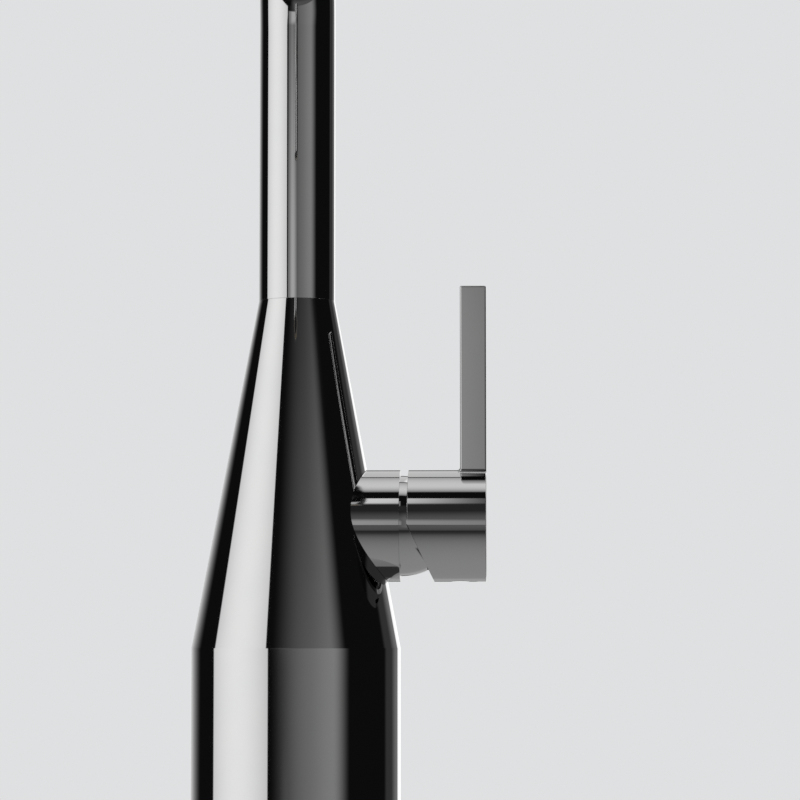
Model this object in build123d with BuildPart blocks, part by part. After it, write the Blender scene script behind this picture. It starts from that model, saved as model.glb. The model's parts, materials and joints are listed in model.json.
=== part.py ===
from build123d import *
import os
from math import asin, cos, degrees, radians, sin, tan

os.makedirs("parts", exist_ok=True)

# Tall basin mixer tap with a side lever. Millimetres, +Z up, origin at the centre of the base
# on the basin deck, lever towards +X, spout towards -Y.

# Outer form
body_radius = 30.0
body_height = 75.0
cone_height = 100.0
neck_radius = 11.0
neck_height = 79.0
bend_radius = 44.0
spout_reach = 150.0
outlet_drop = 16.0
shell_wall = 3.0
spout_wall = 1.5

# Lever hub, measured from the body's axis along +X
lever_axis_rise = 35.0
hub_radius = 16.0
sleeve_end = 30.0
sleeve_chamfer = 0.3
groove_width = 2.35
handle_length = 22.35
bar_thickness = 7.5
bar_width = 10.0
bar_height = 69.0
bar_edge = 0.5
tilt_angle = 25.0
pivot_from_sleeve = 2.3
handle_wall = 1.2
dome_rim_radius = 14.4
dome_arc_radius = 20.5
dome_length = 8.0
dome_wall = 1.8
stem_opening_radius = 8.4

# Fits
seat_gap = 0.03
running_gap = 0.06
slide_gap = 0.15
axial_gap = 0.2
shell_hole_gap = 0.1

# Base and fixing
base_ring_height = 5.0
gasket_radius = 26.0
gasket_bore_radius = 19.0
gasket_height = 1.5
shank_radius = 16.0
shank_wall = 2.5
shank_length = 60.0
shank_engagement = 10.0
shank_hole_gap = 0.3
deck_thickness = 30.0
fixing_radius = 25.0
fixing_gasket_height = 2.0
fixing_washer_height = 2.0
jack_gap = 3.0
fixing_nut_height = 8.0
fixing_nut_corner_radius = 28.0
jack_screw_radius = 2.5
jack_screw_length = 18.0
jack_circle_radius = 20.5
jack_socket = 2.5

# Valve block
foot_web = 14.0
column_depth = 12.0
column_width = 25.0
head_length = 10.0
boss_radius = 13.5
boss_length = 4.0
inlet_spacing = 15.0
inlet_radius = 5.0
inlet_depth = 12.0
inlet_x = -2.0
passage_radius = 2.5
passage_x = -4.0
outlet_passage_radius = 2.2
outlet_passage_x = -2.8
riser_boss_radius = 8.0
riser_boss_rise = 10.0
riser_radius = 5.0
riser_wall = 0.8
riser_seat_depth = 8.0

# Cartridge, stacked outwards from the valve block's face
cartridge_radius = 12.5
cartridge_gap = 0.1
housing_wall = 1.2
cartridge_base_thickness = 4.0
fixed_disc_thickness = 3.5
moving_disc_thickness = 3.5
moving_disc_radius = 9.0
driver_thickness = 6.0
carrier_flange_radius = 10.8
carrier_flange_thickness = 2.0
carrier_neck_radius = 7.9
carrier_overhang = 3.7
housing_end_wall = 2.0
retaining_nut_length = 7.6
retaining_nut_bore_radius = 8.7
inlet_port_y = 5.4
inlet_port_z = 3.9
inlet_port_radius = 1.7
outlet_port_z = -3.9
outlet_port_radius = 2.2
port_seal_width = 0.9
port_seal_height = 1.2
pocket_radius = 7.4
pocket_top = 3.3
pocket_depth = 2.0
lug_radius = 1.2
lug_length = 1.0
lug_offset = 5.5
locating_pin_radius = 1.2
locating_pin_length = 1.5
locating_pin_offset = 9.5

# Stem
stem_width = 7.0
stem_arm = 9.3
stem_tip_radius = 2.0
stem_tip_width = 4.0
stem_neck_height = 2.8
stem_square_offset = 5.3
stem_socket_depth = 6.4
pivot_pin_radius = 1.5
pivot_pin_length = 14.0
set_screw_radius = 2.8
set_screw_length = 6.4
set_screw_from_end = 7.5
cavity_web = 0.5
hex_socket = 2.5
hex_socket_depth = 2.5
tongue_half_height = 4.2
tongue_past_tip = 1.5

# Swivel
shell_top_wall = 2.0
socket_wall = 2.0
socket_depth = 30.0
socket_flange_radius = 11.5
socket_flange_height = 6.0
socket_floor = 3.0
slip_ring_height = 0.6
seam_gap = 0.08
spigot_bore_radius = 4.4
spigot_collar_height = 12.0
ring_groove_depth = 1.2
ring_groove_width = 2.0
upper_ring_below_top = 6.5
lower_ring_below_top = 22.5
stop_below_top = 14.5
stop_screw_radius = 2.0
stop_tip_radius = 1.2
stop_slot_depth = 1.2
stop_slot_gap = 0.3
stop_sink = 0.8
swivel_angle = 60.0

# Aerator
bush_recess = 0.4
bush_length = 14.0
bush_thread_radius = 8.7
bush_thread_depth = 10.0
bush_bore_radius = 6.6
aerator_wall = 1.0
aerator_lip = 0.7
aerator_lip_height = 1.2
aerator_shell_height = 8.0
aerator_screen_height = 0.8
aerator_hole_radius = 0.6
aerator_ring_radii = (2.4, 4.9)
aerator_ring_counts = (6, 12)

# Places worked out from the sizes
cone_top = body_height + cone_height
bend_start = cone_top + neck_height
spout_axis_height = bend_start + bend_radius
outlet_height = bend_start - outlet_drop
lever_axis_height = body_height + lever_axis_rise
handle_start = sleeve_end + groove_width
handle_end = handle_start + handle_length
bar_inner_x = handle_end - bar_thickness
pivot_x = sleeve_end + pivot_from_sleeve
lever_axis = Axis((0, 0, lever_axis_height), (1, 0, 0))

block_foot_radius = body_radius - shell_wall - seat_gap
shank_top = base_ring_height + shank_engagement
foot_top = shank_top + foot_web
riser_boss_top = lever_axis_height + hub_radius + riser_boss_rise
riser_bottom = riser_boss_top - riser_seat_depth

cartridge_face = boss_length
fixed_disc_x = cartridge_face + cartridge_base_thickness
moving_disc_x = fixed_disc_x + fixed_disc_thickness
driver_x = moving_disc_x + moving_disc_thickness
carrier_flange_x = driver_x + driver_thickness + axial_gap
carrier_neck_x = carrier_flange_x + carrier_flange_thickness
housing_end_x = carrier_neck_x + axial_gap
nut_x = housing_end_x + housing_end_wall
nut_end_x = nut_x + retaining_nut_length
carrier_end_x = pivot_x + carrier_overhang
housing_bore_radius = cartridge_radius - housing_wall
disc_travel = stem_arm * sin(radians(tilt_angle))
disc_offset = -disc_travel / 2
stem_tip_x = pivot_x - stem_arm
slot_width = stem_width + axial_gap
dome_end_x = sleeve_end + dome_length
cavity_radius = hub_radius - handle_wall
set_screw_x = handle_end - set_screw_from_end
cavity_end_x = set_screw_x - set_screw_radius - cavity_web
stem_end_x = cavity_end_x + stem_socket_depth

socket_radius = neck_radius - shell_top_wall - seat_gap
socket_bore_radius = socket_radius - socket_wall
spigot_radius = socket_bore_radius - running_gap
socket_shoulder = cone_top - socket_depth
socket_bottom = socket_shoulder - socket_flange_height
spigot_bottom = socket_shoulder + socket_floor
spout_bottom = cone_top + seam_gap
slip_ring_bottom = spout_bottom - slip_ring_height
spout_bore_radius = neck_radius - spout_wall
stop_height = cone_top - stop_below_top
riser_top = socket_bottom + riser_seat_depth - axial_gap


def cone_radius(height):
    """Outer radius of the body's cone at a height."""
    return body_radius - (body_radius - neck_radius) * (height - body_height) / cone_height


def across(x):
    """Plane square to the lever's axis: its x is +Y, its y is +Z, its normal +X."""
    return Plane(origin=(x, 0, lever_axis_height), x_dir=(0, 1, 0), z_dir=(1, 0, 0))


def sideways(x, y):
    """Plane square to +Y at a point on the lever's axis."""
    return Plane(origin=(x, y, lever_axis_height), x_dir=(1, 0, 0), z_dir=(0, 1, 0))


lever_profile = Plane(origin=(0, 0, lever_axis_height), x_dir=(1, 0, 0), z_dir=(0, -1, 0))

# Base ring, the plinth that stands on the deck
with BuildPart() as base_ring:
    with BuildSketch():
        Circle(body_radius)
        Circle(shank_radius + shank_hole_gap, mode=Mode.SUBTRACT)
    extrude(amount=base_ring_height)
    with BuildSketch():
        Circle(gasket_radius + seat_gap)
        Circle(gasket_bore_radius - seat_gap, mode=Mode.SUBTRACT)
    extrude(amount=gasket_height, mode=Mode.SUBTRACT)
base_ring.part.label = "base_ring"
export_step(base_ring.part, "parts/base_ring.step")

# Rubber ring in the plinth's groove
with BuildPart() as base_gasket:
    with BuildSketch():
        Circle(gasket_radius)
        Circle(gasket_bore_radius, mode=Mode.SUBTRACT)
    extrude(amount=gasket_height)
base_gasket.part.label = "base_gasket"
export_step(base_gasket.part, "parts/base_gasket.step")

# Body shell: cylinder, cone, a side hole for the lever's sleeve and a rear hole for the stop screw
with BuildPart() as body_shell:
    with BuildSketch(Plane.XZ):
        with BuildLine():
            Polyline(
                (body_radius, base_ring_height),
                (body_radius, body_height),
                (neck_radius, cone_top),
                (socket_radius + seat_gap, cone_top),
                (socket_radius + seat_gap, socket_shoulder),
                (cone_radius(socket_shoulder) - shell_wall, socket_shoulder),
                (body_radius - shell_wall, body_height),
                (body_radius - shell_wall, base_ring_height),
                close=True,
            )
        make_face()
    revolve(axis=Axis.Z)
    with BuildSketch(across(0)):
        Circle(hub_radius + shell_hole_gap)
    extrude(amount=body_radius, mode=Mode.SUBTRACT)
    with BuildSketch(Plane.XZ.offset(-body_radius)):
        with Locations((0, stop_height)):
            Circle(stop_screw_radius + seat_gap)
    extrude(amount=body_radius, mode=Mode.SUBTRACT)
body_shell.part.label = "body_shell"
export_step(body_shell.part, "parts/body_shell.step")

# Valve block: a foot on the plinth, a column with the two inlets, and the head for the cartridge
with BuildPart() as valve_block:
    with BuildSketch(Plane.XY.offset(base_ring_height)):
        Circle(block_foot_radius)
    extrude(amount=foot_top - base_ring_height)
    with BuildSketch(Plane.XY.offset(foot_top)):
        with Locations((passage_x, 0)):
            Rectangle(column_depth, column_width)
    extrude(amount=lever_axis_height - foot_top)
    with BuildSketch(Plane.XY.offset(lever_axis_height)):
        Circle(riser_boss_radius)
    extrude(amount=riser_boss_top - lever_axis_height)
    with BuildSketch(across(0)):
        Circle(hub_radius + seat_gap)
    extrude(amount=body_radius, mode=Mode.SUBTRACT)
    with BuildSketch(across(-head_length)):
        Circle(hub_radius)
    extrude(amount=head_length)
    with BuildSketch(across(0)):
        Circle(boss_radius)
    extrude(amount=boss_length)
    # Threaded socket for the shank
    with BuildSketch(Plane.XY.offset(base_ring_height)):
        Circle(shank_radius + seat_gap)
    extrude(amount=shank_engagement, mode=Mode.SUBTRACT)
    # Inlets from below, then the two rising passages
    with BuildSketch(Plane.XY.offset(shank_top)):
        with Locations((inlet_x, inlet_spacing / 2), (inlet_x, -inlet_spacing / 2)):
            Circle(inlet_radius)
    extrude(amount=inlet_depth, mode=Mode.SUBTRACT)
    with BuildSketch(Plane.XY.offset(shank_top)):
        with Locations((passage_x, inlet_spacing / 2), (passage_x, -inlet_spacing / 2)):
            Circle(passage_radius)
    extrude(
        amount=lever_axis_height + inlet_port_z + inlet_port_radius - shank_top,
        mode=Mode.SUBTRACT,
    )
    # Drillings from the cartridge's face
    with BuildSketch(across(passage_x)):
        with Locations((inlet_port_y, inlet_port_z), (-inlet_port_y, inlet_port_z)):
            Circle(inlet_port_radius)
    extrude(amount=boss_length - passage_x, mode=Mode.SUBTRACT)
    with BuildSketch(across(outlet_passage_x)):
        with Locations((0, outlet_port_z)):
            Circle(outlet_port_radius)
    extrude(amount=boss_length - outlet_passage_x, mode=Mode.SUBTRACT)
    with BuildSketch(Plane.XY.offset(lever_axis_height + outlet_port_z)):
        with Locations((outlet_passage_x, 0)):
            Circle(outlet_passage_radius)
    extrude(amount=riser_bottom - lever_axis_height - outlet_port_z, mode=Mode.SUBTRACT)
    # Blind holes for the cartridge's locating pins
    with BuildSketch(across(boss_length)):
        with Locations((locating_pin_offset, 0), (-locating_pin_offset, 0)):
            Circle(locating_pin_radius + seat_gap)
    extrude(amount=-(locating_pin_length + axial_gap), mode=Mode.SUBTRACT)
    # Seat for the riser, with the groove for its seal
    with BuildSketch(Plane.XY.offset(riser_bottom)):
        Circle(riser_radius + seat_gap)
    extrude(amount=riser_seat_depth, mode=Mode.SUBTRACT)
    with BuildSketch(Plane.XY.offset(riser_boss_top - riser_seat_depth / 2)):
        Circle(riser_radius + ring_groove_depth)
    extrude(amount=ring_groove_width, mode=Mode.SUBTRACT)
valve_block.part.label = "valve_block"
export_step(valve_block.part, "parts/valve_block.step")

# Threaded shank, a tube that passes through the deck
with BuildPart() as shank:
    with BuildSketch(Plane.XY.offset(-shank_length)):
        Circle(shank_radius)
        Circle(shank_radius - shank_wall, mode=Mode.SUBTRACT)
    extrude(amount=shank_length + shank_top)
shank.part.label = "shank"
export_step(shank.part, "parts/shank.step")

# Rubber and steel washers under the deck
with BuildPart() as fixing_gasket:
    with BuildSketch(Plane.XY.offset(-deck_thickness)):
        Circle(fixing_radius)
        Circle(shank_radius + shank_hole_gap, mode=Mode.SUBTRACT)
    extrude(amount=-fixing_gasket_height)
fixing_gasket.part.label = "fixing_gasket"
export_step(fixing_gasket.part, "parts/fixing_gasket.step")

fixing_washer_top = -deck_thickness - fixing_gasket_height
with BuildPart() as fixing_washer:
    with BuildSketch(Plane.XY.offset(fixing_washer_top)):
        Circle(fixing_radius)
        Circle(shank_radius + shank_hole_gap, mode=Mode.SUBTRACT)
    extrude(amount=-fixing_washer_height)
fixing_washer.part.label = "fixing_washer"
export_step(fixing_washer.part, "parts/fixing_washer.step")

# Nut on the shank, with two jack screws that press on the steel washer
jack_top = fixing_washer_top - fixing_washer_height
nut_top = jack_top - jack_gap
with BuildPart() as fixing_nut:
    with BuildSketch(Plane.XY.offset(nut_top)):
        RegularPolygon(fixing_nut_corner_radius, 6)
        Circle(shank_radius + seat_gap, mode=Mode.SUBTRACT)
        with Locations((0, jack_circle_radius), (0, -jack_circle_radius)):
            Circle(jack_screw_radius + seat_gap, mode=Mode.SUBTRACT)
    extrude(amount=-fixing_nut_height)
fixing_nut.part.label = "fixing_nut"
export_step(fixing_nut.part, "parts/fixing_nut.step")

with BuildPart() as jack_screws:
    with BuildSketch(Plane.XY.offset(jack_top)):
        with Locations((0, jack_circle_radius), (0, -jack_circle_radius)):
            Circle(jack_screw_radius)
    extrude(amount=-jack_screw_length)
    with BuildSketch(Plane.XY.offset(jack_top - jack_screw_length)):
        with Locations((0, jack_circle_radius), (0, -jack_circle_radius)):
            RegularPolygon(jack_socket / 2, 6, major_radius=False)
    extrude(amount=hex_socket_depth, mode=Mode.SUBTRACT)
jack_screws.part.label = "jack_screws"
export_step(jack_screws.part, "parts/jack_screws.step")

# Fixed sleeve that comes out of the cone's side and holds the cartridge
with BuildPart() as cartridge_sleeve:
    with BuildSketch(across(0)):
        Circle(hub_radius)
        Circle(cartridge_radius + cartridge_gap, mode=Mode.SUBTRACT)
    extrude(amount=sleeve_end)
    with BuildSketch(across(0)):
        Circle(boss_radius + seat_gap)
    extrude(amount=boss_length, mode=Mode.SUBTRACT)
    chamfer(
        cartridge_sleeve.edges().filter_by(GeomType.CIRCLE).group_by(Axis.X)[-1].sort_by(SortBy.RADIUS)[-1],
        length=sleeve_chamfer,
    )
cartridge_sleeve.part.label = "cartridge_sleeve"
export_step(cartridge_sleeve.part, "parts/cartridge_sleeve.step")

# Cartridge base, with two inlet ports, the outlet port and two locating pins
port_places = (
    (inlet_port_y, inlet_port_z, inlet_port_radius),
    (-inlet_port_y, inlet_port_z, inlet_port_radius),
    (0, outlet_port_z, outlet_port_radius),
)
with BuildPart() as cartridge_base:
    with BuildSketch(across(cartridge_face)):
        Circle(cartridge_radius)
        for port_y, port_z, port_radius in port_places:
            with Locations((port_y, port_z)):
                Circle(port_radius, mode=Mode.SUBTRACT)
    extrude(amount=cartridge_base_thickness)
    with BuildSketch(across(cartridge_face)):
        for port_y, port_z, port_radius in port_places:
            with Locations((port_y, port_z)):
                Circle(port_radius + port_seal_width + seat_gap)
    extrude(amount=port_seal_height, mode=Mode.SUBTRACT)
    with BuildSketch(across(cartridge_face)):
        with Locations((locating_pin_offset, 0), (-locating_pin_offset, 0)):
            Circle(locating_pin_radius)
    extrude(amount=-locating_pin_length)
cartridge_base.part.label = "cartridge_base"
export_step(cartridge_base.part, "parts/cartridge_base.step")

# Three rubber seals round the ports
with BuildPart() as port_seals:
    with BuildSketch(across(cartridge_face)):
        for port_y, port_z, port_radius in port_places:
            with Locations((port_y, port_z)):
                Circle(port_radius + port_seal_width)
                Circle(port_radius, mode=Mode.SUBTRACT)
    extrude(amount=port_seal_height)
port_seals.part.label = "port_seals"
export_step(port_seals.part, "parts/port_seals.step")

# Fixed ceramic disc
with BuildPart() as fixed_disc:
    with BuildSketch(across(fixed_disc_x)):
        Circle(housing_bore_radius - running_gap)
        for port_y, port_z, port_radius in port_places:
            with Locations((port_y, port_z)):
                Circle(port_radius, mode=Mode.SUBTRACT)
    extrude(amount=fixed_disc_thickness)
fixed_disc.part.label = "fixed_disc"
export_step(fixed_disc.part, "parts/fixed_disc.step")

# Moving ceramic disc: its pocket joins the inlets to the outlet when it slides up
with BuildPart() as moving_disc:
    with BuildSketch(across(moving_disc_x)):
        with Locations((0, disc_offset)):
            Circle(moving_disc_radius)
    extrude(amount=moving_disc_thickness)
    with BuildSketch(across(moving_disc_x)):
        with Locations((0, disc_offset)):
            Circle(pocket_radius)
        with Locations((0, disc_offset + pocket_top)):
            Rectangle(
                2 * pocket_radius,
                2 * pocket_radius,
                align=(Align.CENTER, Align.MIN),
                mode=Mode.SUBTRACT,
            )
    extrude(amount=pocket_depth, mode=Mode.SUBTRACT)
    with BuildSketch(across(driver_x)):
        with Locations((lug_offset, disc_offset), (-lug_offset, disc_offset)):
            Circle(lug_radius + seat_gap)
    extrude(amount=-(lug_length + axial_gap), mode=Mode.SUBTRACT)
moving_disc.part.label = "moving_disc"
export_step(moving_disc.part, "parts/moving_disc.step")

# Driver on the moving disc: its tongue slides in the carrier's slot and takes the stem's tip
with BuildPart() as disc_driver:
    with BuildSketch(across(driver_x)):
        with Locations((0, disc_offset)):
            Circle(moving_disc_radius)
    extrude(amount=driver_thickness)
    with BuildSketch(across(driver_x)):
        with Locations((lug_offset, disc_offset), (-lug_offset, disc_offset)):
            Circle(lug_radius)
    extrude(amount=-lug_length)
    with BuildSketch(across(driver_x)):
        with Locations((0, disc_offset)):
            Rectangle(slot_width - 2 * slide_gap, 2 * tongue_half_height)
    extrude(amount=stem_tip_x + tongue_past_tip - driver_x)
    with BuildSketch(across(stem_tip_x - stem_tip_radius - slide_gap)):
        Rectangle(stem_tip_width + 2 * slide_gap, 2 * (stem_tip_radius + slide_gap))
    extrude(amount=stem_tip_radius + slide_gap + tongue_past_tip, mode=Mode.SUBTRACT)
disc_driver.part.label = "disc_driver"
export_step(disc_driver.part, "parts/disc_driver.step")

# Cartridge housing, a cup with a bore for the carrier
with BuildPart() as cartridge_housing:
    with BuildSketch(across(fixed_disc_x)):
        Circle(cartridge_radius)
        Circle(housing_bore_radius, mode=Mode.SUBTRACT)
    extrude(amount=housing_end_x - fixed_disc_x)
    with BuildSketch(across(housing_end_x)):
        Circle(cartridge_radius)
        Circle(carrier_neck_radius + running_gap, mode=Mode.SUBTRACT)
    extrude(amount=housing_end_wall)
cartridge_housing.part.label = "cartridge_housing"
export_step(cartridge_housing.part, "parts/cartridge_housing.step")

# Stem carrier, which turns with the lever and holds the pivot pin between two cheeks
with BuildPart() as stem_carrier:
    with BuildSketch(across(carrier_flange_x)):
        Circle(carrier_flange_radius)
        Rectangle(
            slot_width,
            disc_travel + 2 * (tongue_half_height + slide_gap),
            mode=Mode.SUBTRACT,
        )
    extrude(amount=carrier_flange_thickness)
    with BuildSketch(across(carrier_neck_x)):
        Circle(carrier_neck_radius)
        Rectangle(slot_width, 2 * carrier_flange_radius, mode=Mode.SUBTRACT)
    extrude(amount=carrier_end_x - carrier_neck_x)
    with BuildSketch(sideways(pivot_x, -hub_radius)):
        Circle(pivot_pin_radius + seat_gap)
    extrude(amount=2 * hub_radius, mode=Mode.SUBTRACT)
stem_carrier.part.label = "stem_carrier"
export_step(stem_carrier.part, "parts/stem_carrier.step")

# Pin that the stem tilts on
with BuildPart() as pivot_pin:
    with BuildSketch(sideways(pivot_x, -pivot_pin_length / 2)):
        Circle(pivot_pin_radius)
    extrude(amount=pivot_pin_length)
pivot_pin.part.label = "pivot_pin"
export_step(pivot_pin.part, "parts/pivot_pin.step")

# Retaining nut in the mouth of the sleeve
with BuildPart() as retaining_nut:
    with BuildSketch(across(nut_x)):
        Circle(cartridge_radius + cartridge_gap - seat_gap)
        Circle(retaining_nut_bore_radius, mode=Mode.SUBTRACT)
    extrude(amount=retaining_nut_length)
retaining_nut.part.label = "retaining_nut"
export_step(retaining_nut.part, "parts/retaining_nut.step")

# Domed cover over the nut, which shows in the groove between sleeve and lever
dome_centre_y = dome_rim_radius - dome_arc_radius
dome_mid_x = sleeve_end + dome_arc_radius * sin(asin(dome_length / dome_arc_radius) / 2)
dome_mid_y = dome_centre_y + dome_arc_radius * cos(asin(dome_length / dome_arc_radius) / 2)
dome_end_radius = dome_centre_y + dome_arc_radius * cos(asin(dome_length / dome_arc_radius))
with BuildPart() as dome_collar:
    with BuildSketch(lever_profile):
        with BuildLine():
            Line((sleeve_end, cartridge_radius + cartridge_gap), (sleeve_end, dome_rim_radius))
            ThreePointArc(
                (sleeve_end, dome_rim_radius),
                (dome_mid_x, dome_mid_y),
                (dome_end_x, dome_end_radius),
            )
            Polyline(
                (dome_end_x, dome_end_radius),
                (dome_end_x, stem_opening_radius),
                (dome_end_x - dome_wall, stem_opening_radius),
                (nut_end_x + axial_gap, cartridge_radius - dome_wall),
                (nut_end_x + axial_gap, cartridge_radius + cartridge_gap),
                (sleeve_end, cartridge_radius + cartridge_gap),
            )
        make_face()
    revolve(axis=lever_axis)
dome_collar.part.label = "dome_collar"
export_step(dome_collar.part, "parts/dome_collar.step")

# Stem: a square shank in the lever, an eye on the pin and a round tip in the driver
with BuildPart() as stem:
    with BuildSketch(across(pivot_x - stem_square_offset)):
        Rectangle(stem_width, stem_width)
    extrude(amount=stem_end_x - pivot_x + stem_square_offset)
    with BuildSketch(across(stem_tip_x)):
        Rectangle(stem_tip_width, stem_neck_height)
    extrude(amount=stem_arm - stem_square_offset)
    with BuildSketch(sideways(stem_tip_x, -stem_tip_width / 2)):
        Circle(stem_tip_radius)
    extrude(amount=stem_tip_width)
    with BuildSketch(sideways(pivot_x, -stem_width)):
        Circle(pivot_pin_radius + running_gap)
    extrude(amount=2 * stem_width, mode=Mode.SUBTRACT)
stem.part.label = "stem"
export_step(stem.part, "parts/stem.step")

# Lever handle: a hollow hub with its lower inner side cut back at the tilt angle, and a slim bar
with BuildPart() as handle:
    with BuildSketch(across(handle_start)):
        Circle(hub_radius)
    extrude(amount=handle_length)
    with BuildSketch(Plane.XY.offset(lever_axis_height)):
        with Locations((bar_inner_x + bar_thickness / 2, 0)):
            RectangleRounded(bar_thickness, bar_width, bar_edge)
    extrude(amount=bar_height)
    fillet(handle.faces().sort_by(Axis.Z)[-1].edges(), radius=bar_edge * 0.9)
    with BuildSketch(across(handle_start)):
        Circle(cavity_radius)
    extrude(amount=cavity_end_x - handle_start, mode=Mode.SUBTRACT)
    with BuildSketch(across(cavity_end_x)):
        Rectangle(stem_width + 2 * running_gap, stem_width + 2 * running_gap)
    extrude(amount=stem_socket_depth + axial_gap, mode=Mode.SUBTRACT)
    with BuildSketch(Plane.XY.offset(lever_axis_height)):
        with Locations((set_screw_x, 0)):
            Circle(set_screw_radius + seat_gap)
    extrude(amount=-2 * hub_radius, mode=Mode.SUBTRACT)
    with BuildSketch(Plane.XZ.offset(-2 * hub_radius)):
        with BuildLine():
            Polyline(
                (pivot_x, lever_axis_height),
                (pivot_x + 2 * hub_radius * tan(radians(tilt_angle)), lever_axis_height - 2 * hub_radius),
                (0, lever_axis_height - 2 * hub_radius),
                (0, lever_axis_height),
                close=True,
            )
        make_face()
    extrude(amount=4 * hub_radius, mode=Mode.SUBTRACT)
handle.part.label = "handle"
export_step(handle.part, "parts/handle.step")

# Grub screw that clamps the handle to the stem, from below
with BuildPart() as set_screw:
    with BuildSketch(Plane.XY.offset(lever_axis_height - stem_width / 2)):
        with Locations((set_screw_x, 0)):
            Circle(set_screw_radius)
    extrude(amount=-set_screw_length)
    with BuildSketch(Plane.XY.offset(lever_axis_height - stem_width / 2 - set_screw_length)):
        with Locations((set_screw_x, 0)):
            RegularPolygon(hex_socket / 2, 6, major_radius=False)
    extrude(amount=hex_socket_depth, mode=Mode.SUBTRACT)
set_screw.part.label = "set_screw"
export_step(set_screw.part, "parts/set_screw.step")

# Riser from the valve block to the spout's socket
with BuildPart() as riser_tube:
    with BuildSketch(Plane.XY.offset(riser_bottom)):
        Circle(riser_radius)
        Circle(riser_radius - riser_wall, mode=Mode.SUBTRACT)
    extrude(amount=riser_top - riser_bottom)
riser_tube.part.label = "riser_tube"
export_step(riser_tube.part, "parts/riser_tube.step")

riser_seal_heights = (riser_boss_top - riser_seat_depth / 2, socket_bottom + riser_seat_depth / 4)
with BuildPart() as riser_seals:
    for seal_height in riser_seal_heights:
        with BuildSketch(Plane.XY.offset(seal_height + running_gap)):
            Circle(riser_radius + ring_groove_depth - running_gap)
            Circle(riser_radius + running_gap / 2, mode=Mode.SUBTRACT)
        extrude(amount=ring_groove_width - 2 * running_gap)
riser_seals.part.label = "riser_seals"
export_step(riser_seals.part, "parts/riser_seals.step")

# Socket for the spout, pushed up into the top of the cone
with BuildPart() as spout_socket:
    with BuildSketch(Plane.XY.offset(socket_bottom)):
        Circle(socket_flange_radius)
    extrude(amount=socket_flange_height)
    with BuildSketch(Plane.XY.offset(socket_shoulder)):
        Circle(socket_radius)
    extrude(amount=slip_ring_bottom - socket_shoulder)
    with BuildSketch(Plane.XY.offset(spigot_bottom - axial_gap)):
        Circle(socket_bore_radius)
    extrude(amount=socket_depth, mode=Mode.SUBTRACT)
    with BuildSketch(Plane.XY.offset(socket_bottom)):
        Circle(riser_radius + seat_gap)
    extrude(amount=riser_seat_depth, mode=Mode.SUBTRACT)
    with BuildSketch(Plane.XY.offset(riser_seal_heights[1])):
        Circle(riser_radius + ring_groove_depth)
    extrude(amount=ring_groove_width, mode=Mode.SUBTRACT)
    with BuildSketch(Plane.XY.offset(socket_bottom)):
        Circle(riser_radius - riser_wall)
    extrude(amount=socket_depth, mode=Mode.SUBTRACT)
    with BuildSketch(Plane.XZ.offset(-body_radius)):
        with Locations((0, stop_height)):
            Circle(stop_screw_radius + seat_gap)
    extrude(amount=body_radius, mode=Mode.SUBTRACT)
spout_socket.part.label = "spout_socket"
export_step(spout_socket.part, "parts/spout_socket.step")

# Slip ring that the spout turns on, let into the top of the cone so that only a fine seam shows
with BuildPart() as slip_ring:
    with BuildSketch(Plane.XY.offset(slip_ring_bottom)):
        Circle(socket_radius)
        Circle(spigot_radius + slide_gap, mode=Mode.SUBTRACT)
    extrude(amount=slip_ring_height)
slip_ring.part.label = "slip_ring"
export_step(slip_ring.part, "parts/slip_ring.step")

# Stop screw at the back of the cone: its tip runs in the spigot's slot
stop_screw_head_y = cone_radius(stop_height) - stop_sink
stop_tip_y = spigot_radius - stop_slot_depth + stop_slot_gap
with BuildPart() as stop_screw:
    with BuildSketch(Plane.XZ.offset(-stop_screw_head_y)):
        with Locations((0, stop_height)):
            Circle(stop_screw_radius)
    extrude(amount=stop_screw_head_y - socket_bore_radius - slide_gap)
    with BuildSketch(Plane.XZ.offset(-stop_screw_head_y)):
        with Locations((0, stop_height)):
            Circle(stop_tip_radius)
    extrude(amount=stop_screw_head_y - stop_tip_y)
    with BuildSketch(Plane.XZ.offset(-stop_screw_head_y)):
        with Locations((0, stop_height)):
            RegularPolygon(stop_tip_radius, 6, major_radius=False)
    extrude(amount=stop_screw_radius, mode=Mode.SUBTRACT)
stop_screw.part.label = "stop_screw"
export_step(stop_screw.part, "parts/stop_screw.step")

# Spigot under the spout: it turns in the socket, with two ring grooves and the stop's slot
ring_heights = (cone_top - upper_ring_below_top, cone_top - lower_ring_below_top)
slot_half_angle = swivel_angle + degrees(
    asin((stop_tip_radius + stop_slot_gap) / (spigot_radius - stop_slot_depth))
)
slot_start = radians(90 - slot_half_angle)
slot_plane = Plane(
    origin=(0, 0, stop_height),
    x_dir=(cos(slot_start), sin(slot_start), 0),
    z_dir=(sin(slot_start), -cos(slot_start), 0),
)
with BuildPart() as spout_spigot:
    with BuildSketch(Plane.XY.offset(spigot_bottom)):
        Circle(spigot_radius)
    extrude(amount=spout_bottom - spigot_bottom)
    with BuildSketch(Plane.XY.offset(spout_bottom)):
        Circle(spout_bore_radius - seat_gap)
    extrude(amount=spigot_collar_height)
    with BuildSketch(Plane.XY.offset(spigot_bottom)):
        Circle(spigot_bore_radius)
    extrude(amount=spout_bottom + spigot_collar_height - spigot_bottom, mode=Mode.SUBTRACT)
    for ring_height in ring_heights:
        with BuildSketch(Plane.XY.offset(ring_height)):
            Circle(spigot_radius + 1)
            Circle(spigot_radius - ring_groove_depth, mode=Mode.SUBTRACT)
        extrude(amount=ring_groove_width, mode=Mode.SUBTRACT)
    with BuildSketch(slot_plane):
        with Locations((spigot_radius, 0)):
            Rectangle(2 * stop_slot_depth, 2 * (stop_tip_radius + stop_slot_gap))
    revolve(axis=Axis.Z, revolution_arc=2 * slot_half_angle, mode=Mode.SUBTRACT)
spout_spigot.part.label = "spout_spigot"
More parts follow.
